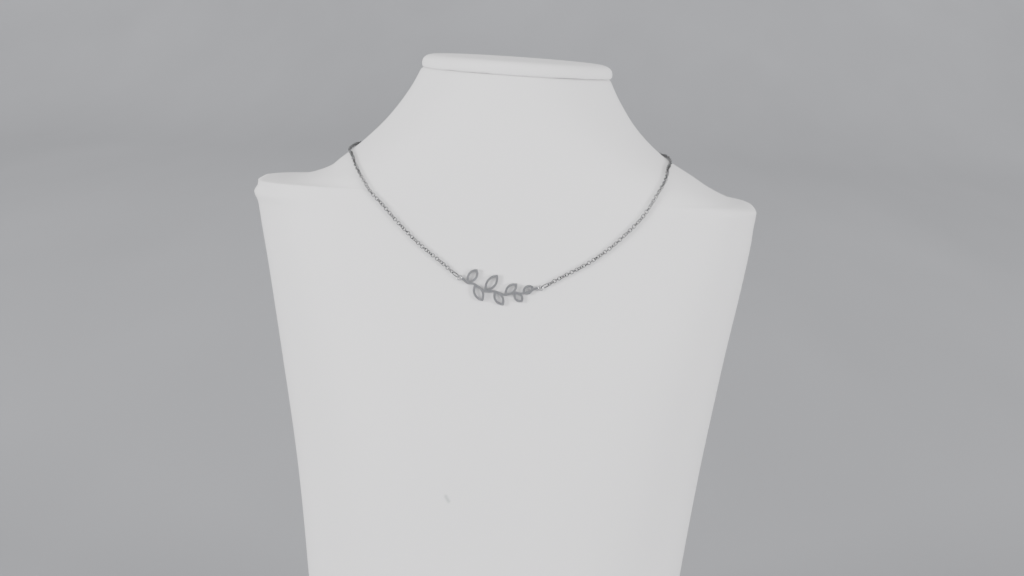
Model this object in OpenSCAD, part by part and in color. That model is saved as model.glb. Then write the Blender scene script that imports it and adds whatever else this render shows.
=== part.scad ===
// Thin steel nameplate necklace on a plain padded neck form.
// Millimetres. +Z is up, the front faces -Y, the origin is under the middle of the form's box.

/* [Plate] */
// Distance between the centres of the plate's two end rings
plate_w = 30.5; // [26:0.5:40]
// Height of the plate from its lowest to its highest leaf tip
plate_h = 12.6; // [9:0.2:16]
// Thickness of the plate's sheet
plate_t = 1; // [0.6:0.1:1.6]
// Width of the cut line of the stem and round the leaves
stroke_w = 0.9; // [0.7:0.05:1.2]
// Outer diameter of the wire ring soldered to each end
eye_d = 2.3; // [2.1:0.1:3]
// Wire of the soldered rings
eye_wire = 0.45; // [0.4:0.05:0.55]
// Turn of the hanging plate, right end down, in degrees
plate_turn = 4.7; // [0:0.1:8]
// Gap between the plate's back and the form
plate_gap = 0.25; // [0.1:0.05:0.6]

/* [End links] */
// Length of the oval link between ring and chain
link_l = 3.4; // [3:0.1:4.5]
// Width of the oval link
link_w = 1.9; // [1.8:0.05:2.2]
// Wire of the oval link
link_wire = 0.36; // [0.3:0.02:0.42]
// Free play between the link's wire and the ring's wire
link_play = 0.15; // [0.1:0.01:0.2]

/* [Chain] */
// Outer diameter of the fine cable chain
chain_d = 1.7; // [1.2:0.1:2.2]
// Gap between the chain and the form
chain_gap = 0.35; // [0.3:0.05:0.6]
// Gap between a chain's end and the piece that it meets
end_gap = 0.4; // [0.3:0.05:0.6]

/* [Clasp] */
// Length of the clasp's barrel
clasp_l = 8; // [6:0.5:12]
// Diameter of the clasp's barrel
clasp_d = 2.6; // [2:0.1:3.6]
// Outer diameter of the eye at each end of the clasp
clasp_eye_d = 2.2; // [1.8:0.1:2.6]
// Wire of the clasp's eyes
clasp_wire = 0.4; // [0.3:0.05:0.5]

/* [Neck form] */
// Width across the shoulders
form_w = 196; // [170:2:230]
// Height from the base to the top of the neck
form_h = 256; // [220:2:300]
// Depth of the chest in front of the side edges
front_d = 60; // [48:1:72]
// Depth of the back behind the side edges
back_d = 38; // [30:1:46]

/* [Cap] */
// Height of the padded cap on the neck
cap_h = 5.7; // [4:0.1:8]
// Overhang of the cap past the neck
cap_over = 0.5; // [0.3:0.1:2]
// Sideways set of the cap on the neck, to the right
cap_shift = 0.4; // [-0.8:0.1:0.8]
// Gap between the neck and the cap, which shows as a fine line
cap_gap = 0.2; // [0.1:0.05:0.5]

/* [Hidden] */

// Sections of the neck form from the base up. Columns:
// height as a share of form_h; half width to the left and to the right as shares of half of form_w;
// front and back depth as shares of front_d and back_d; roundness of the front and of the back,
// where 2 is an ellipse and more is squarer; tilt of the section to the right, in degrees.
FORM = [
    [0.000, 0.6855, 0.725, 0.9, 1.0, 2.8, 5.0, 0],
    [0.195, 0.739, 0.771, 0.97, 0.97, 2.9, 5.0, -0.15],
    [0.390, 0.801, 0.833, 1.0, 0.92, 3.0, 5.0, -0.3],
    [0.566, 0.879, 0.9025, 0.96, 0.88, 3.2, 4.8, -0.4],
    [0.684, 0.933, 0.9555, 0.88, 0.86, 3.6, 4.2, -0.5],
    [0.758, 0.97, 0.9855, 0.812, 0.86, 4.0, 3.5, -0.48],
    [0.790, 0.985, 0.9935, 0.777, 0.865, 4.3, 3.0, -0.4],
    [0.804, 1.0, 0.9985, 0.761, 0.87, 4.5, 2.6, -0.38],
    [0.814, 0.986, 0.9955, 0.749, 0.873, 4.7, 2.3, -0.38],
    [0.820, 0.982, 0.964, 0.740, 0.876, 4.9, 2.16, -0.38],
    [0.8232, 0.968, 0.922, 0.7355, 0.877, 4.9, 2.08, -0.39],
    [0.825, 0.850, 0.8965, 0.7325, 0.878, 4.9, 2.05, -0.40],
    [0.840, 0.722, 0.816, 0.712, 0.88, 4.5, 2.05, -0.65],
    [0.8555, 0.67, 0.75, 0.689, 0.88, 3.9, 2.05, -0.7],
    [0.883, 0.585, 0.63, 0.652, 0.88, 3.2, 2.05, -0.8],
    [0.922, 0.4865, 0.5195, 0.611, 0.88, 2.6, 2.0, -1.0],
    [0.965, 0.407, 0.441, 0.575, 0.87, 2.2, 2.0, -1.2],
    [1.000, 0.36, 0.394, 0.55, 0.85, 2.0, 2.0, -1.35]
];
// Edge of the cap from its underside up. Columns: reach as a share of the rim, height as a share of cap_h
CAP = [
    [0.985, 0], [0.998, 0.12], [1, 0.32], [0.99, 0.54], [0.965, 0.71],
    [0.92, 0.84], [0.84, 0.91], [0.6, 0.965], [0.3, 0.99]
];
// Leaves of the plate from left to right. Columns: foot as a share of the stem's length;
// length and width as shares of plate_h; angle above or below the plate's long axis, in degrees
LEAVES = [
    [0.08, 0.42, 0.23, 62],
    [0.17, 0.48, 0.24, -56],
    [0.32, 0.53, 0.25, 60],
    [0.44, 0.42, 0.22, -50],
    [0.58, 0.42, 0.21, 50],
    [0.70, 0.30, 0.20, -42],
    [0.81, 0.30, 0.20, 42]
];
leaf_sides = 96;
// Height of the end rings above the plate's middle, dip of the stem between them,
// and its sway away from each leaf, as shares of half of plate_h
eye_rise = 0.32;
stem_dip = 0.3;
stem_sway = 0.07;
// Steps of the stem's curve from one leaf to the next
stem_steps = 8;

// Place of the plate's middle: height as a share of form_h, direction from the front in degrees
plate_h_at = 0.693;
plate_dir = 1;
// Rise of each end link from the plate's long axis, and its twist out of the plate's plane, in degrees
left_rise = 30;
right_rise = 33;
link_twist = 50;
// Height of the clasp behind the neck, as a share of form_h
clasp_h_at = 0.901;
// Radius of the barrel's ends as a share of its diameter,
// and half length of its straight part as a share of its length
clasp_neck = 0.3;
clasp_straight = 0.36;
// Routes of the two chains from the end links to the clasp, points chosen by eye.
// Columns: height as a share of form_h, direction from the front in degrees
ROUTE_LEFT = [
    [0.7469, -30.5], [0.7789, -39.2], [0.8123, -46.5], [0.8412, -54], [0.8632, -63.8], [0.8695, -75],
    [0.872, -88], [0.875, -104], [0.879, -120], [0.8845, -135], [0.8905, -150], [0.897, -164]
];
ROUTE_RIGHT = [
    [0.7314, 32.5], [0.7594, 40.8], [0.7944, 48], [0.8209, 52], [0.8458, 57], [0.8692, 66],
    [0.877, 76], [0.8805, 90], [0.883, 106], [0.886, 121], [0.89, 136], [0.895, 150], [0.899, 163]
];
chain_steps = 3;
chain_sides = 8;
// Columns round the form and the cap, and rows between two sections
form_cols = 48;
form_rows = 3;

// Side edges of the form lie here, so that its box is centred on the origin
side_y = (front_d - back_d) / 2;
rim_left = FORM[len(FORM) - 1][1] * form_w / 2 + cap_over - cap_shift;
rim_right = FORM[len(FORM) - 1][2] * form_w / 2 + cap_over + cap_shift;
rim_front = FORM[len(FORM) - 1][3] * front_d + cap_over;
rim_back = FORM[len(FORM) - 1][4] * back_d + cap_over;
rim_tilt = FORM[len(FORM) - 1][7];

// Cubic through table rows, with each row's slope taken from its two neighbours
function slope(t, i, c) =
    let (a = max(i - 1, 0), b = min(i + 1, len(t) - 1)) (t[b][c] - t[a][c]) / (t[b][0] - t[a][0]);
function mix(t, h, i, c) =
    let (d = t[i + 1][0] - t[i][0], u = (h - t[i][0]) / d)
    t[i][c] * (2 * u ^ 3 - 3 * u ^ 2 + 1) + slope(t, i, c) * d * (u ^ 3 - 2 * u ^ 2 + u)
    + t[i + 1][c] * (3 * u ^ 2 - 2 * u ^ 3) + slope(t, i + 1, c) * d * (u ^ 3 - u ^ 2);
function row_at(h) = max([for (k = [0:len(FORM) - 2]) if (k == 0 || FORM[k][0] <= h) k]);
// Section of the form at a height share, in millimetres
function section(h) =
    let (i = row_at(h), s = [for (c = [1:7]) mix(FORM, h, i, c)])
    [h * form_h, s[0] * form_w / 2, s[1] * form_w / 2, s[2] * front_d, s[3] * back_d, s[4], s[5], s[6]];
function lifted(s, x, y) = [x, side_y + y, s[0] + tan(s[7]) * x];
// Point of a section's outline by even turns of its own curve, from the front to the right
function outline(s, a) =
    let (w = sin(a) < 0 ? s[1] : s[2], d = cos(a) > 0 ? s[3] : s[4], n = cos(a) > 0 ? s[5] : s[6])
    lifted(s, w * sign(sin(a)) * abs(sin(a)) ^ (2 / n), -d * sign(cos(a)) * abs(cos(a)) ^ (2 / n));
// Point of the form at a height share in a true direction from the front
function form_at(h, a) =
    let (s = section(h), w = sin(a) < 0 ? s[1] : s[2], d = cos(a) > 0 ? s[3] : s[4],
         n = cos(a) > 0 ? s[5] : s[6], r = (abs(sin(a) / w) ^ n + abs(cos(a) / d) ^ n) ^ (-1 / n))
    lifted(s, r * sin(a), -r * cos(a));
function unit(v) = v / norm(v);
// Outward direction of the form there, from its slopes over a short step in height and in direction
step_h = 0.004;
step_a = 1;
function form_normal(h, a) =
    unit(cross(form_at(h, a + step_a) - form_at(h, a - step_a),
               form_at(h + step_h, a) - form_at(h - step_h, a)));
// Curve through points, evenly stepped
function bend(p, i, u) =
    let (b = p[i], c = p[i + 1], a = i > 0 ? p[i - 1] : 2 * b - c,
         d = i < len(p) - 2 ? p[i + 2] : 2 * c - b)
    (2 * b + (c - a) * u + (2 * a - 5 * b + 4 * c - d) * u ^ 2 + (3 * b - 3 * c + d - a) * u ^ 3) / 2;
function curve(p, steps) =
    [for (i = [0:len(p) - 2], k = [0:steps - 1]) bend(p, i, k / steps), p[len(p) - 1]];

// Closed skin over equal rings, with flat ends
module skin(rings) {
    n = len(rings[0]);
    m = len(rings);
    polyhedron(
        [for (r = rings) each r],
        concat(
            [[for (k = [0:n - 1]) k], [for (k = [n - 1:-1:0]) (m - 1) * n + k]],
            [for (i = [0:m - 2], k = [0:n - 1]) [i * n + k, (i + 1) * n + k, i * n + (k + 1) % n]],
            [for (i = [0:m - 2], k = [0:n - 1])
                [i * n + (k + 1) % n, (i + 1) * n + k, (i + 1) * n + (k + 1) % n]]
        ),
        convexity = 6
    );
}

module bust() {
    heights = concat(
        [for (i = [0:len(FORM) - 2], k = [0:form_rows - 1])
            FORM[i][0] + (FORM[i + 1][0] - FORM[i][0]) * k / form_rows],
        [1]);
    color("white")
        skin([for (h = heights) let (s = section(h))
            [for (k = [0:form_cols - 1]) outline(s, 360 * k / form_cols)]]);
}

module bust_cap() {
    color("white")
        skin([for (row = CAP)
            let (s = [form_h + cap_gap + row[1] * cap_h, rim_left * row[0], rim_right * row[0],
                      rim_front * row[0], rim_back * row[0], 2, 2, rim_tilt])
            [for (k = [0:form_cols - 1]) outline(s, 360 * k / form_cols)]]);
}

// The plate's own frame: x along its rings, y up, in the plane that touches the form
plate_n = form_normal(plate_h_at, plate_dir);
plate_mid = form_at(plate_h_at, plate_dir) + plate_n * (plate_gap + plate_t / 2);
plate_az = atan2(plate_n.x, -plate_n.y);
plate_lean = asin(plate_n.z);
plate_x = [cos(plate_az) * cos(plate_turn) + sin(plate_az) * sin(plate_lean) * sin(plate_turn),
           sin(plate_az) * cos(plate_turn) - cos(plate_az) * sin(plate_lean) * sin(plate_turn),
           -cos(plate_lean) * sin(plate_turn)];
plate_y = cross(plate_n, plate_x);
eye_y = eye_rise * plate_h / 2;
function on_plate(x, y) = plate_mid + plate_x * x + plate_y * y;
module plate_frame() {
    translate(plate_mid) rotate([0, 0, plate_az]) rotate([-plate_lean, 0, 0]) rotate([90, plate_turn, 0])
        children();
}

// The stem runs from ring to ring in a shallow dip and sways away from the foot of each leaf
stem_w = plate_w - eye_d + eye_wire;
function dip_y(x) =
    let (u = 2 * x / stem_w) ((eye_rise + stem_dip) * u ^ 2 - stem_dip) * plate_h / 2;
function leaf_foot(leaf) =
    let (x = (leaf[0] - 0.5) * stem_w) [x, dip_y(x) - sign(leaf[3]) * stem_sway * plate_h / 2];
stem_points = concat([[-stem_w / 2, eye_y]], [for (leaf = LEAVES) leaf_foot(leaf)], [[stem_w / 2, eye_y]]);
module cut_line(points) {
    n = len(points);
    along = [for (i = [0:n - 1]) unit(points[min(i + 1, n - 1)] - points[max(i - 1, 0)])];
    polygon(concat(
        [for (i = [0:n - 1]) points[i] + [-along[i].y, along[i].x] * stroke_w / 2],
        [for (i = [n - 1:-1:0]) points[i] - [-along[i].y, along[i].x] * stroke_w / 2]));
}
// Area between two equal arcs whose centres lie on either side of it
module lens(radius, away) {
    intersection() {
        translate([0, -away]) circle(radius, $fn = leaf_sides);
        translate([0, away]) circle(radius, $fn = leaf_sides);
    }
}
// Open pointed leaf along x with its foot at the origin
module leaf(length, width) {
    radius = (length ^ 2 + width ^ 2) / (4 * width);
    away = radius - width / 2;
    translate([sqrt((radius + stroke_w / 2) ^ 2 - away ^ 2), 0]) difference() {
        lens(radius + stroke_w / 2, away);
        lens(radius - stroke_w / 2, away);
    }
}
module wire_ring(d, wire) {
    rotate_extrude($fn = 48) translate([(d - wire) / 2, 0]) circle(d = wire, $fn = 24);
}
module nameplate() {
    color("silver") plate_frame() {
        translate([0, 0, -plate_t / 2]) linear_extrude(plate_t) {
            cut_line(curve(stem_points, stem_steps));
            for (row = LEAVES)
                translate(leaf_foot(row)) rotate(row[3]) leaf(row[1] * plate_h, row[2] * plate_h);
        }
        for (side = [-1, 1]) translate([side * plate_w / 2, eye_y, 0]) wire_ring(eye_d, eye_wire);
    }
}

// Oval link, long along x
module oval_link() {
    bow = (link_w - link_wire) / 2;
    straight = link_l - link_w;
    for (side = [-1, 1]) {
        translate([side * straight / 2, 0, 0]) intersection() {
            wire_ring(link_w, link_wire);
            translate([side > 0 ? 0 : -link_w, -link_w, -link_w]) cube([link_w, 2 * link_w, 2 * link_w]);
        }
        translate([-straight / 2, side * bow, 0]) rotate([0, 90, 0])
            cylinder(h = straight, d = link_wire, $fn = 24);
    }
}
// From a ring's centre to the link's middle, with the two wires a play apart
link_reach = eye_d / 2 - eye_wire + link_l / 2 - link_wire - link_play;
module end_link(side, rise) {
    color("silver") plate_frame()
        translate([side * plate_w / 2, eye_y, 0]) rotate([0, 0, side > 0 ? rise : 180 - rise])
            translate([link_reach, 0, 0]) rotate([link_twist, 0, 0]) oval_link();
}
module end_link_left() end_link(-1, left_rise);
module end_link_right() end_link(1, right_rise);

// Height share and direction of the place where a chain leaves its end link
function chain_start(side, rise) =
    let (reach = link_reach + link_l / 2 + end_gap,
         p = on_plate(side * (plate_w / 2 + reach * cos(rise)), eye_y + reach * sin(rise)),
         tilt = section(plate_h_at)[7])
    [(p.z - tan(tilt) * p.x) / form_h, atan2(p.x, side_y - p.y)];
// The clasp's half turn round the neck up to its eye's outer edge
clasp_at = form_at(clasp_h_at, 180);
clasp_half = clasp_l / 2 + clasp_eye_d - clasp_wire;
clasp_turn = atan((clasp_half + end_gap) / (clasp_at.y - side_y));
function chain_path(points) =
    [for (q = curve(points, chain_steps))
        form_at(q[0], q[1]) + form_normal(q[0], q[1]) * (chain_d / 2 + chain_gap)];
// Plain round stand-in for the fine links, one ring of sides at each point of its path
module tube(path) {
    n = len(path);
    skin([for (i = [0:n - 1])
        let (t = unit(path[min(i + 1, n - 1)] - path[max(i - 1, 0)]),
             a = unit(cross(t, [0, 0, 1])), b = cross(t, a))
        [for (k = [0:chain_sides - 1])
            path[i] + chain_d / 2 * (cos(360 * k / chain_sides) * a + sin(360 * k / chain_sides) * b)]]);
}
module chain_left() {
    color("gray") tube(chain_path(concat(
        [chain_start(-1, left_rise)], ROUTE_LEFT, [[clasp_h_at, -180 + clasp_turn]])));
}
module chain_right() {
    color("gray") tube(chain_path(concat(
        [chain_start(1, right_rise)], ROUTE_RIGHT, [[clasp_h_at, 180 - clasp_turn]])));
}

// Closed barrel with an eye at each end, lying along x behind the neck
module clasp() {
    n = form_normal(clasp_h_at, 180);
    color("silver") translate(clasp_at + n * (clasp_d / 2 + chain_gap)) {
        rotate([0, 90, 0]) rotate_extrude($fn = 32) polygon([
            [0, -clasp_l / 2], [clasp_d * clasp_neck, -clasp_l / 2],
            [clasp_d / 2, -clasp_l * clasp_straight], [clasp_d / 2, clasp_l * clasp_straight],
            [clasp_d * clasp_neck, clasp_l / 2], [0, clasp_l / 2]]);
        for (side = [-1, 1]) translate([side * (clasp_l + clasp_eye_d - 2 * clasp_wire) / 2, 0, 0])
            rotate([90, 0, 0]) wire_ring(clasp_eye_d, clasp_wire);
    }
}

bust();
bust_cap();
nameplate();
end_link_left();
end_link_right();
chain_left();
chain_right();
clasp();
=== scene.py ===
"""Thin steel nameplate necklace on a plain padded neck form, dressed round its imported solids. Metres."""

import bmesh
import bpy
import numpy as np
from mathutils import Matrix, Vector


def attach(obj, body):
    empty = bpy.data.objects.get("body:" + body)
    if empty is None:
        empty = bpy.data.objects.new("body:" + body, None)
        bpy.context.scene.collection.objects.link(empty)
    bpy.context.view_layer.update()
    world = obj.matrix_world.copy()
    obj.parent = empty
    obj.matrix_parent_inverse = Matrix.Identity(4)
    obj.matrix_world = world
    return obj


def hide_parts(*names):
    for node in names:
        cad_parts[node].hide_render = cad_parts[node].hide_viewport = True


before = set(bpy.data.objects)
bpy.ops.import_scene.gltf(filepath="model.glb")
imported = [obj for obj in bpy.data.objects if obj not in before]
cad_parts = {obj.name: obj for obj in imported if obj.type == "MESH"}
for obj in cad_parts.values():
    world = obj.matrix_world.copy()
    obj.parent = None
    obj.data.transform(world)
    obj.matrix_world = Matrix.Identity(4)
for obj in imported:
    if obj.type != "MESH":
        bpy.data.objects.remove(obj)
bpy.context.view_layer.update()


# Neck form
# A light moulded shell with thin padding, covered in smooth white leatherette. The cover is drawn
# tight, so no fold shows, and is turned in under the base, where a thin board closes the shell.
# The form leans a little and its shoulders differ from side to side, as hand-covered ones do.
form_w, form_h, front_d, back_d = 0.196, 0.256, 0.060, 0.038
side_y = (front_d - back_d) / 2
form_columns = 288
row_spacing, fewest_rows = 0.0016, 3
base_round = 0.0025
top_round = 0.0012
board_margin = 0.012
board_depth = 0.0004
base_steps, top_steps = 7, 5
cover_ripple = 0.00008
same_place = 1e-7

# Sections from the base up. Columns: height as a share of form_h; half width to the left and to the
# right as shares of half of form_w; front and back depth as shares of front_d and back_d;
# roundness of the front and of the back, where 2 is an ellipse; tilt to the right in degrees.
FORM = np.array([
    [0.000, 0.6855, 0.725, 0.9, 1.0, 2.8, 5.0, 0],
    [0.195, 0.739, 0.771, 0.97, 0.97, 2.9, 5.0, -0.15],
    [0.390, 0.801, 0.833, 1.0, 0.92, 3.0, 5.0, -0.3],
    [0.566, 0.879, 0.9025, 0.96, 0.88, 3.2, 4.8, -0.4],
    [0.684, 0.933, 0.9555, 0.88, 0.86, 3.6, 4.2, -0.5],
    [0.758, 0.97, 0.9855, 0.812, 0.86, 4.0, 3.5, -0.48],
    [0.790, 0.985, 0.9935, 0.777, 0.865, 4.3, 3.0, -0.4],
    [0.804, 1.0, 0.9985, 0.761, 0.87, 4.5, 2.6, -0.38],
    [0.814, 0.986, 0.9955, 0.749, 0.873, 4.7, 2.3, -0.38],
    [0.820, 0.982, 0.964, 0.740, 0.876, 4.9, 2.16, -0.38],
    [0.8232, 0.968, 0.922, 0.7355, 0.877, 4.9, 2.08, -0.39],
    [0.825, 0.850, 0.8965, 0.7325, 0.878, 4.9, 2.05, -0.40],
    [0.840, 0.722, 0.816, 0.712, 0.88, 4.5, 2.05, -0.65],
    [0.8555, 0.67, 0.75, 0.689, 0.88, 3.9, 2.05, -0.7],
    [0.883, 0.585, 0.63, 0.652, 0.88, 3.2, 2.05, -0.8],
    [0.922, 0.4865, 0.5195, 0.611, 0.88, 2.6, 2.0, -1.0],
    [0.965, 0.407, 0.441, 0.575, 0.87, 2.2, 2.0, -1.2],
    [1.000, 0.36, 0.394, 0.55, 0.85, 2.0, 2.0, -1.35],
])


def form_rows(h):
    """Table rows at the height shares h, with lengths in metres: a cubic through the rows, whose
    slope at a row is that of the line from the row before it to the row after it."""
    h = np.atleast_1d(np.asarray(h, float))
    place = FORM[:, 0]
    last = len(place) - 1
    i = np.clip(np.searchsorted(place, h, side="right") - 1, 0, last - 1)
    order = np.arange(last + 1)
    before, after = np.clip(order - 1, 0, last), np.clip(order + 1, 0, last)
    slope = (FORM[after] - FORM[before]) / (place[after] - place[before])[:, None]
    step = (place[i + 1] - place[i])[:, None]
    u = (h - place[i])[:, None] / step
    rows = (FORM[i] * (2 * u**3 - 3 * u**2 + 1) + slope[i] * step * (u**3 - 2 * u**2 + u)
            + FORM[i + 1] * (3 * u**2 - 2 * u**3) + slope[i + 1] * step * (u**3 - u**2))
    rows[:, 0] = h
    return rows * [form_h, form_w / 2, form_w / 2, front_d, back_d, 1, 1, 1]


def ring_point(rows, direction):
    """Point of each row's outline in a true direction in plan, 0 at the front and 90 at the right:
    the radius is (|sin|/w)^n + (|cos|/d)^n to the power -1/n, and the height follows the tilt."""
    z, left, right, front, back, front_n, back_n, tilt = np.moveaxis(rows, -1, 0)
    a = np.radians(direction)
    across, ahead = np.sin(a), np.cos(a)
    w = np.where(across < 0, left, right)
    d, n = np.where(ahead > 0, front, back), np.where(ahead > 0, front_n, back_n)
    r = ((np.abs(across) / w) ** n + (np.abs(ahead) / d) ** n) ** (-1 / n)
    x = r * across
    return np.stack([x, side_y - r * ahead, z + np.tan(np.radians(tilt)) * x], -1)


def form_at(h, direction):
    """Points of the form for pairs of height share and direction."""
    h, direction = np.broadcast_arrays(np.asarray(h, float), np.asarray(direction, float))
    return ring_point(form_rows(h.ravel()), direction.ravel()).reshape(h.shape + (3,))


def unit(v):
    """Vectors brought to length 1."""
    return v / np.linalg.norm(v, axis=-1, keepdims=True)


def form_normal(h, direction, rise=0.004, turn=1.0):
    """Outward direction: the slope along the outline crossed with the slope up the form."""
    along = form_at(h, direction + turn) - form_at(h, direction - turn)
    up = form_at(np.minimum(h + rise, 1), direction) - form_at(h - rise, direction)
    return unit(np.cross(along, up))


def drawn_in(ring, by):
    """A ring with each point moved by that length towards the upright axis through the form."""
    out = ring - np.array([0, side_y, 0])
    out[..., 2] = 0
    return ring - unit(out) * by


def grid_faces(rows, columns, rows_close=False, columns_close=True):
    """Quads between neighbouring rows and columns of a grid, wound so that rows going up and
    columns going anticlockwise face outwards."""
    i = np.arange(rows if rows_close else rows - 1)[:, None]
    k = np.arange(columns if columns_close else columns - 1)[None, :]
    j, m = (i + 1) % rows, (k + 1) % columns
    return np.stack([i * columns + k, i * columns + m, j * columns + m, j * columns + k], -1).reshape(-1, 4)


def solid(name, points, faces, replaced):
    """One closed, smooth-shaded piece on the necklace's only body. Points that fall on each other,
    as at a pole, are merged."""
    mesh = bpy.data.meshes.new(name)
    mesh.from_pydata(points.reshape(-1, 3), [], faces)
    shell = bmesh.new()
    shell.from_mesh(mesh)
    bmesh.ops.remove_doubles(shell, verts=shell.verts, dist=same_place)
    shell.to_mesh(mesh)
    shell.free()
    mesh.shade_smooth()
    piece = bpy.data.objects.new(name, mesh)
    bpy.context.scene.collection.objects.link(piece)
    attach(piece, "root")
    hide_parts(replaced)
    return piece


def ripple(points):
    """Shallow unevenness of the padding, as a share from 0 to 1: the mean of three sine waves that run
    in different directions, with place in centimetres and slopes in radians a centimetre."""
    x, y, z = np.moveaxis(points * 100, -1, 0)
    waves = (np.sin(1.3 * x + 0.9 * z + 0.4) + np.sin(0.7 * y - 1.1 * z + 0.5 * x + 2.1)
             + np.sin(0.45 * z - 0.8 * x + 1.7 * y))
    return (waves + 3) / 6


heights = np.concatenate([
    np.linspace(a, b, max(fewest_rows, int(np.ceil((b - a) * form_h / row_spacing))), endpoint=False)
    for a, b in zip(FORM[:-1, 0], FORM[1:, 0])] + [[1.0]])
heights = heights[(heights * form_h > base_round) & ((1 - heights) * form_h > top_round)]
round_base = np.radians(np.linspace(0, 90, base_steps))
round_top = np.radians(np.linspace(0, 90, top_steps))
around = np.arange(form_columns) * 360 / form_columns


def form_ring(h, by=0.0):
    """One ring of the form at a height share, drawn in by a length."""
    return drawn_in(form_at(np.full(form_columns, h), around), by)


base_ring = form_ring(0.0)
# The cover is turned in under the base as far as the margin, and the board lies a little deeper
board = [drawn_in(base_ring, base_round + board_margin * share) + [0, 0, lift]
         for share, lift in ((1.06, board_depth), (1, 0), (0.5, 0))]
board_middle = np.full_like(base_ring, [0, side_y, board_depth])
edge = [form_ring((1 - np.sin(a)) * base_round / form_h, (1 - np.cos(a)) * base_round)
        for a in round_base[::-1]]
wall = [form_ring(h) for h in heights]
wall = [drawn_in(ring, cover_ripple * ripple(ring)[:, None]) for ring in wall]
rim = [form_ring(1 - (1 - np.sin(a)) * top_round / form_h, (1 - np.cos(a)) * top_round) for a in round_top]
neck_top = form_ring(1.0, top_round)
top_middle = np.full_like(neck_top, neck_top.mean(0))
rings = np.array([board_middle, *board, *edge, *wall, *rim, (neck_top + top_middle) / 2, top_middle])
bust = solid("bust_cover", rings, grid_faces(len(rings), form_columns), "bust")


def node(tree, kind, settings=None, **inputs):
    """A shader node with its settings and with values or links on the sockets of those names."""
    made = tree.nodes.new(kind)
    for key, value in (settings or {}).items():
        setattr(made, key, value)
    for key, value in inputs.items():
        numbered = key[0] == "_" and key[1:].isdigit()
        socket = made.inputs[int(key[1:]) if numbered else key.replace("_", " ")]
        if isinstance(value, bpy.types.NodeSocket):
            tree.links.new(value, socket)
        else:
            socket.default_value = value
    return made


def effect(name, inputs, outputs):
    """An empty shader node group with named inputs and outputs, and its two end nodes."""
    group = bpy.data.node_groups.new(name, "ShaderNodeTree")
    for title, kind, value in inputs:
        socket = group.interface.new_socket(name=title, in_out="INPUT", socket_type=kind)
        if value is not None:
            socket.default_value = value
    for title, kind in outputs:
        group.interface.new_socket(name=title, in_out="OUTPUT", socket_type=kind)
    return group, group.nodes.new("NodeGroupInput"), group.nodes.new("NodeGroupOutput")


def finish_of(name):
    """A new material: its tree, its Principled shader and the piece's Object coordinates."""
    made = bpy.data.materials.new(name)
    made.use_nodes = True
    tree = made.node_tree
    place = node(tree, "ShaderNodeTexCoord").outputs["Object"]
    return made, tree, tree.nodes["Principled BSDF"], place


# The cover's grain: small rounded pebbles with finer pores between them, and a slow change of tone
# where the backing shows through. Height and pores run from 0 to 1.
grain, grain_in, grain_out = effect(
    "leatherette_grain",
    [("Place", "NodeSocketVector", None), ("Pebble", "NodeSocketFloat", 0.0005)],
    [("Height", "NodeSocketFloat"), ("Pore", "NodeSocketFloat"), ("Tone", "NodeSocketFloat")])
fineness = node(grain, "ShaderNodeMath", {"operation": "DIVIDE"}, _0=1.0,
                _1=grain_in.outputs["Pebble"]).outputs[0]
pebbles = node(grain, "ShaderNodeTexVoronoi", {"feature": "DISTANCE_TO_EDGE"},
               Vector=grain_in.outputs["Place"], Scale=fineness)
pebble_height = node(grain, "ShaderNodeMapRange", {"interpolation_type": "SMOOTHSTEP"},
                     Value=pebbles.outputs["Distance"], From_Max=0.28)
pores = node(grain, "ShaderNodeTexNoise", Vector=grain_in.outputs["Place"], Scale=fineness, Detail=3.0)
pore_mask = node(grain, "ShaderNodeMapRange", Value=pores.outputs["Fac"], From_Min=0.58, From_Max=0.75)
tone = node(grain, "ShaderNodeTexNoise", Vector=grain_in.outputs["Place"], Scale=14.0, Detail=2.0)
pitted = node(grain, "ShaderNodeMath", {"operation": "MULTIPLY_ADD"}, _0=pore_mask.outputs[0], _1=-0.35,
              _2=pebble_height.outputs[0])
grain.links.new(pitted.outputs[0], grain_out.inputs["Height"])
grain.links.new(pore_mask.outputs[0], grain_out.inputs["Pore"])
grain.links.new(tone.outputs["Fac"], grain_out.inputs["Tone"])

cover_light, cover_shade = (0.852, 0.838, 0.840, 1), (0.832, 0.822, 0.827, 1)
grain_depth = 0.00002


def leatherette(name):
    """White leatherette: soft gloss broken by the grain, and a slight drift of tone."""
    made, tree, shader, place = finish_of(name)
    relief = node(tree, "ShaderNodeGroup", {"node_tree": grain}, Place=place, Pebble=0.00045)
    drift = node(tree, "ShaderNodeMapRange", Value=relief.outputs["Tone"], From_Min=0.3, From_Max=0.7)
    colour = node(tree, "ShaderNodeMix", {"data_type": "RGBA"}, Factor=drift.outputs[0])
    colour.inputs[6].default_value, colour.inputs[7].default_value = cover_shade, cover_light
    tree.links.new(colour.outputs[2], shader.inputs["Base Color"])
    gloss = node(tree, "ShaderNodeMapRange", Value=relief.outputs["Pore"], To_Min=0.56, To_Max=0.72)
    tree.links.new(gloss.outputs[0], shader.inputs["Roughness"])
    bump = node(tree, "ShaderNodeBump", Strength=0.6, Distance=grain_depth, Height=relief.outputs["Height"])
    tree.links.new(bump.outputs[0], shader.inputs["Normal"])
    shader.inputs["Specular IOR Level"].default_value = 0.3
    return made, tree, shader, place, colour.outputs[2]


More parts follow.
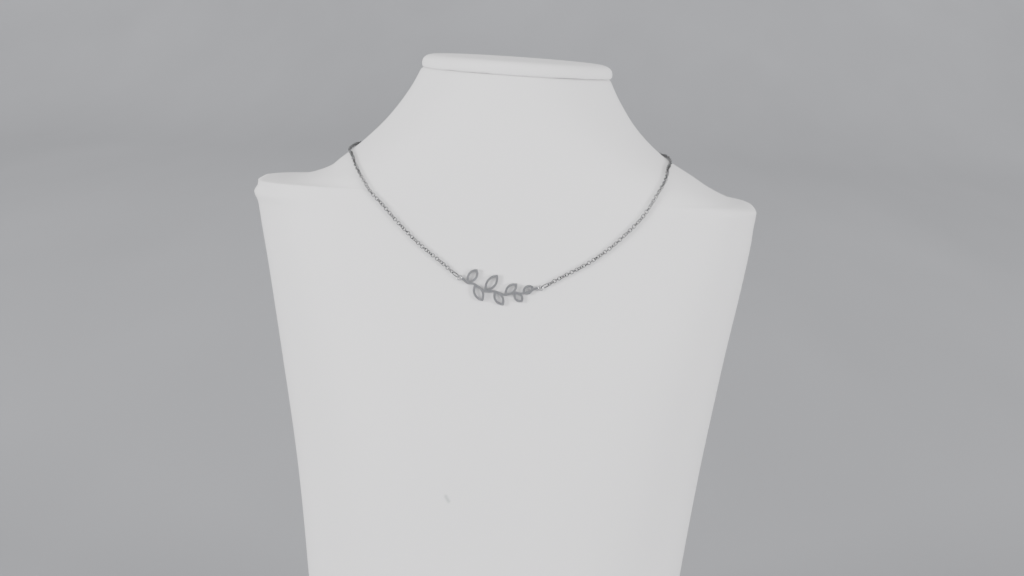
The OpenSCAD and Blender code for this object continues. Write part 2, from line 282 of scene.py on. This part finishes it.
# A small grey rub mark low on the chest, left of the middle: a short slanting streak that fades out.
# Its strength falls with the distance from the line between its two ends.
mark_from, mark_to = np.array([-0.0156, -0.0489, 0.0986]), np.array([-0.0145, -0.0489, 0.0968])
mark_half, mark_grey = 0.0012, (0.52, 0.54, 0.535, 1)
cover, tree, shader, place, cover_colour = leatherette("white_leatherette")
mark_long = np.linalg.norm(mark_to - mark_from)
from_end = node(tree, "ShaderNodeVectorMath", {"operation": "SUBTRACT"}, _0=place, _1=mark_from)
along = node(tree, "ShaderNodeVectorMath", {"operation": "DOT_PRODUCT"}, _0=from_end.outputs[0],
             _1=(mark_to - mark_from) / mark_long)
held = node(tree, "ShaderNodeClamp", Value=along.outputs["Value"], Max=mark_long)
foot = node(tree, "ShaderNodeVectorMath", {"operation": "SCALE"}, _0=(mark_to - mark_from) / mark_long,
            Scale=held.outputs[0])
off_line = node(tree, "ShaderNodeVectorMath", {"operation": "DISTANCE"}, _0=from_end.outputs[0],
                _1=foot.outputs[0])
streak = node(tree, "ShaderNodeMapRange", {"interpolation_type": "SMOOTHSTEP"},
              Value=off_line.outputs["Value"], From_Max=mark_half, To_Min=1.0, To_Max=0.0)
marked = node(tree, "ShaderNodeMix", {"data_type": "RGBA"}, Factor=streak.outputs[0], _6=cover_colour,
              _7=mark_grey)
tree.links.new(marked.outputs[2], shader.inputs["Base Color"])
bust.data.materials.append(cover)


# Cap
# A thin padded disc in the same leatherette, pressed onto the neck's open top. Its rolled edge stands
# a little past the neck, and the two meet in a fine line that opens and closes as the padding swells.
cap_h, cap_over, cap_shift, cap_gap = 0.0057, 0.0005, 0.0004, 0.0002
cap_steps = 6
pole_width = 1e-9
seam_swell, swell_up_to = 0.00018, 0.3
# Edge from the underside up. Columns: reach as a share of the rim, height as a share of cap_h
CAP = np.array([
    [0.90, 0.02], [0.965, 0.0], [0.985, 0.01], [0.998, 0.12], [1.0, 0.32], [0.99, 0.54], [0.965, 0.71],
    [0.92, 0.84], [0.84, 0.91], [0.6, 0.965], [0.3, 0.99], [0.0, 1.0],
])


def through(points, steps):
    """Smooth curve through rows of points, evenly stepped: each span is the cubic whose end slopes
    are half of the step from the point before to the point after."""
    points = np.asarray(points, float)
    t = np.linspace(0, len(points) - 1, (len(points) - 1) * steps + 1)
    i = np.minimum(t.astype(int), len(points) - 2)
    u = (t - i)[:, None]
    a, b, c, d = (points[np.clip(i + k, 0, len(points) - 1)] for k in (-1, 0, 1, 2))
    return (2 * b + (c - a) * u + (2 * a - 5 * b + 4 * c - d) * u**2 + (3 * b - 3 * c + d - a) * u**3) / 2


def swell(direction):
    """How far the padding swells down into the seam in a direction, from 0 to 1: three waves round
    the rim of 5, 13 and 29 turns, cut off at both ends so that the seam stays shut between openings."""
    a = np.radians(direction)
    waves = 0.72 + 0.35 * np.sin(5 * a + 0.6) + 0.30 * np.sin(13 * a + 2.0) + 0.22 * np.sin(29 * a)
    return np.clip(waves, 0, 1)


profile = through(CAP, cap_steps)
rim_row = FORM[-1] * [1, form_w / 2, form_w / 2, front_d, back_d, 1, 1, 1]
rim_row[1:5] += [cap_over - cap_shift, cap_over + cap_shift, cap_over, cap_over]
cap_rings = []
for reach, height in profile:
    row = rim_row.copy()
    row[1:5] = np.maximum(row[1:5] * reach, pole_width)
    row[0] = form_h + cap_gap + height * cap_h
    ring = ring_point(np.tile(row, (form_columns, 1)), around)
    ring[:, 2] -= seam_swell * swell(around) * max(0, 1 - height / swell_up_to)
    cap_rings.append(ring)
underside = np.full_like(cap_rings[0], cap_rings[0].mean(0))
cap_rings = np.array([underside, *cap_rings])
cap = solid("cap_cover", cap_rings, grid_faces(len(cap_rings), form_columns), "bust_cap")
cap.data.materials.append(cover)


# Polished steel
# All of the metal is polished stainless steel with fine wear: hairline marks of many directions,
# and a slightly duller film in places. The chain's steel colour is painted much darker, as painted shade.
wear, wear_in, wear_out = effect(
    "fine_wear",
    [("Place", "NodeSocketVector", None), ("Mark size", "NodeSocketFloat", 0.0008)],
    [("Height", "NodeSocketFloat"), ("Film", "NodeSocketFloat")])
density = node(wear, "ShaderNodeMath", {"operation": "DIVIDE"}, _0=1.0,
               _1=wear_in.outputs["Mark size"]).outputs[0]
hairlines = node(wear, "ShaderNodeTexNoise", Vector=wear_in.outputs["Place"], Scale=density, Detail=6.0,
                 Roughness=0.7, Distortion=1.5)
film = node(wear, "ShaderNodeTexNoise", Vector=wear_in.outputs["Place"], Scale=260.0, Detail=3.0)
wear.links.new(hairlines.outputs["Fac"], wear_out.inputs["Height"])
wear.links.new(film.outputs["Fac"], wear_out.inputs["Film"])


def steel(name, colour, smooth, dull):
    """Polished steel whose roughness runs from smooth to dull under its film."""
    made, tree, shader, place = finish_of(name)
    worn = node(tree, "ShaderNodeGroup", {"node_tree": wear}, Place=place)
    gloss = node(tree, "ShaderNodeMapRange", Value=worn.outputs["Film"], From_Min=0.35, From_Max=0.7,
                 To_Min=smooth, To_Max=dull)
    tree.links.new(gloss.outputs[0], shader.inputs["Roughness"])
    bump = node(tree, "ShaderNodeBump", Strength=0.25, Distance=0.00001, Height=worn.outputs["Height"])
    tree.links.new(bump.outputs[0], shader.inputs["Normal"])
    shader.inputs["Base Color"].default_value = (*colour, 1)
    shader.inputs["Metallic"].default_value = 1.0
    return made


# Nameplate
# A sprig cut from a 1 mm steel sheet: a swaying stem with open pointed leaves on both sides, polished
# on both faces, with a wire ring soldered to each end. It hangs with its right end a little lower.
plate_w, plate_h, plate_t, plate_turn, plate_gap = 0.0305, 0.0126, 0.001, 4.7, 0.00025
eye_d, eye_wire, eye_rise = 0.0023, 0.00045, 0.32
plate_h_at, plate_dir = 0.693, 1.0
edge_break, edge_steps, edge_angle = 0.00008, 2, np.radians(40)
weld_reach = 1e-6
plate_steel = steel("plate_steel", (0.66, 0.66, 0.665), 0.12, 0.24)
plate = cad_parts["nameplate"]
plate.data.materials.clear()
plate.data.materials.append(plate_steel)
weld = plate.modifiers.new("weld", "WELD")
weld.merge_threshold = weld_reach
bevel = plate.modifiers.new("broken_edges", "BEVEL")
bevel.width, bevel.segments = edge_break, edge_steps
bevel.limit_method, bevel.angle_limit = "ANGLE", edge_angle

plate_n = form_normal(plate_h_at, plate_dir)
plate_mid = form_at(plate_h_at, plate_dir) + plate_n * (plate_gap + plate_t / 2)
plate_az, plate_lean = np.arctan2(plate_n[0], -plate_n[1]), np.arcsin(plate_n[2])
turn = np.radians(plate_turn)
plate_x = np.array([
    np.cos(plate_az) * np.cos(turn) + np.sin(plate_az) * np.sin(plate_lean) * np.sin(turn),
    np.sin(plate_az) * np.cos(turn) - np.cos(plate_az) * np.sin(plate_lean) * np.sin(turn),
    -np.cos(plate_lean) * np.sin(turn)])
plate_y = np.cross(plate_n, plate_x)


def ring_centre(side):
    """Centre of the soldered ring at the left (-1) or right (1) end of the plate."""
    return plate_mid + plate_x * side * plate_w / 2 + plate_y * eye_rise * plate_h / 2


# End links
# One oval link of round wire joins each soldered ring to its chain. It passes through the ring with a
# little play and lies at a slant to the plate, along the chain's way up.
link_l, link_w, link_wire, link_play, link_twist = 0.0034, 0.0019, 0.00036, 0.00015, 50
rises = {-1: 30, 1: 33}
end_steps, end_sides = 40, 12


def oval_wire(length, width, wire, steps, sides):
    """Grid of points of a closed oval of round wire that is long along x and lies in x and y: its
    middle line is two half circles and two straights, and each step carries a circle across it."""
    bow, straight = (width - wire) / 2, length - width
    total = 2 * straight + 2 * np.pi * bow
    s = (np.arange(steps) / steps * total + straight / 2) % total
    on_right = s - straight / 2
    a_right = np.clip(on_right, 0, np.pi * bow) / bow
    on_left = s - straight * 1.5 - np.pi * bow
    a_left = np.clip(on_left, 0, np.pi * bow) / bow
    back = np.clip(on_right - np.pi * bow, 0, straight)
    home = np.clip(s - straight * 1.5 - 2 * np.pi * bow, 0, straight / 2)
    ahead = np.minimum(s, straight / 2)
    x = ahead + bow * np.sin(a_right) - back - bow * np.sin(a_left) + home
    y = -bow * np.cos(a_right) * (a_left == 0) + bow * np.cos(a_left) * (a_left > 0)
    y = np.where(a_left >= np.pi, -bow, y)
    heading = a_right + a_left
    outward = np.stack([np.sin(heading), -np.cos(heading), 0 * heading], -1)
    middle = np.stack([x, y, 0 * x], -1)
    across = np.arange(sides) * 2 * np.pi / sides
    up = np.array([0.0, 0.0, 1.0])
    return (middle[:, None] + wire / 2 * (np.cos(across)[None, :, None] * outward[:, None]
                                          - np.sin(across)[None, :, None] * up))


def placed(grid, middle, ahead, over):
    """A grid set down with its x along ahead and its z along over, at its middle."""
    return middle + grid[..., :1] * ahead + grid[..., 1:2] * np.cross(over, ahead) + grid[..., 2:] * over


def turned(v, axis, degrees):
    """Vectors turned about a unit axis."""
    a = np.radians(np.asarray(degrees, float))[..., None]
    return (v * np.cos(a) + np.cross(axis, v) * np.sin(a)
            + axis * (v * axis).sum(-1, keepdims=True) * (1 - np.cos(a)))


# Painted shade: the chain's steel colour is far darker than polished steel. It stands in for the shade
# between links and the dark room the metal mirrors. The end links and the clasp share it.
chain_steel = steel("chain_steel", (0.17, 0.17, 0.172), 0.16, 0.28)
link_reach = eye_d / 2 - eye_wire + link_l / 2 - link_wire - link_play
ways = {}
for side, name in ((-1, "left"), (1, "right")):
    rise = np.radians(rises[side])
    way = plate_x * side * np.cos(rise) + plate_y * np.sin(rise)
    middle = ring_centre(side) + way * link_reach
    over = turned(plate_n, way, link_twist)
    oval = placed(oval_wire(link_l, link_w, link_wire, end_steps, end_sides), middle, way, over)
    piece = solid(f"end_link_{name}_wire", oval, grid_faces(end_steps, end_sides, rows_close=True),
                  f"end_link_{name}")
    piece.data.materials.append(chain_steel)
    ways[side] = (middle, way)


# Clasp
# A plain turned barrel behind the neck, closed, with a wire eye at each end. The two halves of the
# chain end in its eyes.
clasp_l, clasp_d, clasp_eye_d, clasp_wire, clasp_h_at = 0.008, 0.0026, 0.0022, 0.0004, 0.901
chain_gap = 0.00035
barrel_sides, eye_steps, eye_sides = 32, 32, 10
# Half of the barrel's outline from its middle to an end. Columns: place as a share of half the
# length, radius as a share of half the diameter
BARREL = np.array([
    [0.0, 0.93], [0.012, 0.93], [0.03, 1.0], [0.30, 1.0], [0.33, 0.95], [0.37, 0.95], [0.40, 1.0],
    [0.70, 1.0], [0.80, 0.93], [0.90, 0.78], [0.97, 0.64], [1.0, 0.5], [1.0, 0.0],
])
clasp_n = form_normal(clasp_h_at, 180.0)
clasp_mid = form_at(clasp_h_at, 180.0) + clasp_n * (clasp_d / 2 + chain_gap)
half = BARREL * [clasp_l / 2, clasp_d / 2]
barrel = np.concatenate([half[::-1] * [-1, 1], half[1:]])
barrel_turn = np.radians(np.arange(barrel_sides) * 360 / barrel_sides)
barrel_grid = np.stack(np.broadcast_arrays(
    barrel[:, :1], barrel[:, 1:] * np.cos(barrel_turn), barrel[:, 1:] * np.sin(barrel_turn)), -1) + clasp_mid
eye_out = (clasp_l + clasp_eye_d - 2 * clasp_wire) / 2
clasp_eyes = [placed(oval_wire(clasp_eye_d, clasp_eye_d, clasp_wire, eye_steps, eye_sides),
                     clasp_mid + [side * eye_out, 0, 0],
                     np.array([1.0, 0, 0]), np.array([0.0, -1, 0])) for side in (-1, 1)]
clasp_points = np.concatenate([barrel_grid.reshape(-1, 3), *[e.reshape(-1, 3) for e in clasp_eyes]])
first_eye = len(barrel) * barrel_sides
second_eye = first_eye + eye_steps * eye_sides
eye_faces = grid_faces(eye_steps, eye_sides, rows_close=True)
clasp_faces = np.concatenate([grid_faces(len(barrel), barrel_sides), eye_faces + first_eye,
                              eye_faces + second_eye])
clasp = solid("clasp_barrel", clasp_points, clasp_faces, "clasp")
clasp.data.materials.append(chain_steel)


# Chains
# Fine cable chain of round links bent from hard wire and soldered shut. Each link stands across the
# one before it, and the whole chain is slowly twisted, so that links turn their round side to the
# front in pairs. The two halves lie on the form from the plate over the shoulders to the clasp.
chain_d, chain_wire, chain_long, chain_pitch = 0.00166, 0.00033, 0.00172, 0.00104
chain_clear, end_slack = 0.00012, 0.00004
link_steps, link_sides = 16, 6
route_steps, smooth_passes, ease_over = 60, 120, 0.004
twist_each = 14.0
# Uneven twist on top of the even one. Columns: most degrees, length of chain in which the wave turns
# by one radian
TWIST_WAVES = [[14, 0.011], [9, 0.0047]]
# Points that each route passes. Columns: height as a share of form_h, direction in degrees
ROUTES = {
    -1: [[0.7469, -30.5], [0.7789, -39.2], [0.8123, -46.5], [0.8412, -54], [0.8632, -63.8], [0.8695, -75],
         [0.872, -88], [0.875, -104], [0.879, -120], [0.8845, -135], [0.8905, -150], [0.897, -164]],
    1: [[0.7314, 32.5], [0.7594, 40.8], [0.7944, 48], [0.8209, 52], [0.8458, 57], [0.8692, 66],
        [0.877, 76], [0.8805, 90], [0.883, 106], [0.886, 121], [0.89, 136], [0.895, 150], [0.899, 163]],
}


def smoothed(values, passes):
    """Rows of a path drawn towards the mean of their neighbours, the ends kept."""
    for _ in range(passes):
        values = np.concatenate([values[:1], (values[:-2] + 2 * values[1:-1] + values[2:]) / 4, values[-1:]])
    return values


def plan_place(p):
    """Height share and direction of points that lie close to the form."""
    tilt = np.tan(np.radians(form_rows(np.array([p[2] / form_h]))[0, 7]))
    return [(p[2] - tilt * p[0]) / form_h, np.degrees(np.arctan2(p[0], side_y - p[1]))]


lift = chain_d / 2 + chain_clear
link = oval_wire(chain_long, chain_d, chain_wire, link_steps, link_sides)
one = grid_faces(link_steps, link_sides, rows_close=True)
first_reach = link_l / 2 - link_wire + chain_long / 2 - chain_wire - end_slack
last_reach = clasp_eye_d / 2 - clasp_wire + chain_long / 2 - chain_wire - end_slack
(slow_most, slow_long), (quick_most, quick_long) = TWIST_WAVES
for side, name in ((-1, "left"), (1, "right")):
    link_mid, way = ways[side]
    first = link_mid + way * first_reach
    last = clasp_mid + [side * eye_out, 0, 0] + np.array([side * last_reach, 0, 0])
    route = through([plan_place(first), *ROUTES[side], plan_place(last)], route_steps)
    path = form_at(route[:, 0], route[:, 1]) + form_normal(route[:, 0], route[:, 1]) * lift
    path = smoothed(path, smooth_passes)
    away = smoothed(form_normal(route[:, 0], route[:, 1]), smooth_passes)
    far = np.concatenate([[0], np.cumsum(np.linalg.norm(np.diff(path, axis=0), axis=1))])
    ease = np.exp(-far / ease_over)[:, None]
    path = path + (first - path[0]) * ease + (last - path[-1]) * ease[::-1]
    far = np.concatenate([[0], np.cumsum(np.linalg.norm(np.diff(path, axis=0), axis=1))])
    count = int(round(far[-1] / chain_pitch)) + 1
    number = np.arange(count)
    s = np.linspace(0, far[-1], count)
    at = np.stack([np.interp(s, far, path[:, c]) for c in range(3)], -1)
    up = np.stack([np.interp(s, far, away[:, c]) for c in range(3)], -1)
    ahead = unit(np.gradient(at, axis=0))
    up = unit(up - ahead * (up * ahead).sum(-1, keepdims=True))
    uneven = slow_most * np.sin(s / slow_long + side) + quick_most * np.sin(s / quick_long)
    spin = 90 + link_twist + (90 + twist_each) * number + uneven - uneven[0]
    face = turned(up, ahead, spin)
    grids = placed(link[None], at[:, None, None], ahead[:, None, None], face[:, None, None])
    faces = (one[None] + number[:, None, None] * link_steps * link_sides).reshape(-1, 4)
    chain = solid(f"chain_{name}_links", grids, faces, f"chain_{name}")
    chain.data.materials.append(chain_steel)


# Studio
# A wide grey cloth floor, uneven in tone in bands that run to the back, rises into a seamless wall all
# round under an even sky. Its grey is painted darker near the middle and lighter far out: painted light
# that makes up for light falling off towards the wall. Two large soft lights stand in front, to the left
# and to the right, and a weak one hangs above. What faces straight ahead mirrors the grey wall.
floor_flat, wall_round, wall_top = 3.0, 4.0, 5.0
floor_columns, wall_steps = 96, 31
sweep = np.radians(np.linspace(0, 90, wall_steps))
floor_reach = np.concatenate([[0.0, 0.5, 1, 2], floor_flat + wall_round * np.sin(sweep),
                              [floor_flat + wall_round]])
floor_height = np.concatenate([np.zeros(4), wall_round * (1 - np.cos(sweep)), [wall_top]])
turns = np.radians(np.arange(floor_columns) * 360 / floor_columns)
floor_points = np.stack(np.broadcast_arrays(
    floor_reach[:, None] * np.cos(turns), floor_reach[:, None] * np.sin(turns), floor_height[:, None]), -1)
floor_mesh = bpy.data.meshes.new("studio_floor")
floor_mesh.from_pydata(floor_points.reshape(-1, 3), [], grid_faces(len(floor_reach), floor_columns)[:, ::-1])
floor_mesh.shade_smooth()
floor = bpy.data.objects.new("studio_floor", floor_mesh)
bpy.context.scene.collection.objects.link(floor)
grey, tree, shader, place = finish_of("studio_grey_painted_falloff")
# Painted light: the grey lightens with distance from the middle, making up for the lamps' light falling off
# towards the wall.
from_middle = node(tree, "ShaderNodeVectorMath", {"operation": "LENGTH"}, _0=place)
painted_light_falloff = node(tree, "ShaderNodeMapRange", Value=from_middle.outputs["Value"], From_Min=0.2, From_Max=6.5)
grey_painted_for_falloff = node(tree, "ShaderNodeMix", {"data_type": "RGBA"}, Factor=painted_light_falloff.outputs[0],
                 _6=(0.378, 0.381, 0.398, 1), _7=(0.60, 0.606, 0.63, 1))
drawn_out = node(tree, "ShaderNodeVectorMath", {"operation": "MULTIPLY"}, _0=place, _1=(1.0, 0.16, 1.0))
unevenness = node(tree, "ShaderNodeTexNoise", Vector=drawn_out.outputs[0], Scale=2.6, Detail=3.0,
                  Roughness=0.6)
cloth = node(tree, "ShaderNodeMapRange", Value=unevenness.outputs["Fac"], From_Min=0.3, From_Max=0.7,
             To_Min=0.95, To_Max=1.05)
cloth_tone = node(tree, "ShaderNodeVectorMath", {"operation": "SCALE"}, _0=grey_painted_for_falloff.outputs[2],
                  Scale=cloth.outputs[0])
tree.links.new(cloth_tone.outputs[0], shader.inputs["Base Color"])
shader.inputs["Roughness"].default_value = 0.95
shader.inputs["Specular IOR Level"].default_value = 0.0
floor_mesh.materials.append(grey)

world = bpy.data.worlds.new("studio_sky")
bpy.context.scene.world = world
world.use_nodes = True
world.node_tree.nodes["Background"].inputs["Color"].default_value = (1, 1, 1, 1)
world.node_tree.nodes["Background"].inputs["Strength"].default_value = 0.85


def soft_light(name, place, aim, size, power):
    """A square light that faces its aim."""
    light = bpy.data.lights.new(name, "AREA")
    light.shape, light.size, light.energy = "SQUARE", size, power
    lamp = bpy.data.objects.new(name, light)
    lamp.location = place
    lamp.rotation_euler = (Vector(aim) - Vector(place)).to_track_quat("-Z", "Y").to_euler()
    bpy.context.scene.collection.objects.link(lamp)


soft_light("left", (-2.9, -2.0, 0.6), (0, 0, 0.15), 1.4, 179)
soft_light("right", (2.9, -2.0, 0.4), (0, 0, 0.15), 1.4, 171)
soft_light("above", (0, 0.7, 3.0), (0, 0, 0.15), 2.0, 24)

# Camera
# A long lens a little above the necklace and to its right, turned slightly anticlockwise.
view_yaw, view_pitch, view_roll, distance = np.radians(2.0), np.radians(8.1), np.radians(2.5), 0.8
aim = Vector((0.00377, 0.011, 0.1703))
forward = Vector((-np.sin(view_yaw) * np.cos(view_pitch), np.cos(view_yaw) * np.cos(view_pitch),
                  -np.sin(view_pitch)))
level = forward.cross(Vector((0, 0, 1))).normalized()
upright = level.cross(forward)
right = level * np.cos(view_roll) + upright * np.sin(view_roll)
above = upright * np.cos(view_roll) - level * np.sin(view_roll)
camera = bpy.data.objects.new("camera", bpy.data.cameras.new("camera"))
camera.data.lens, camera.data.sensor_width = 70.3125, 36
facing = Matrix((right, above, -forward)).transposed().to_4x4()
camera.matrix_world = Matrix.Translation(aim - forward * distance) @ facing
bpy.context.scene.collection.objects.link(camera)
bpy.context.scene.camera = camera
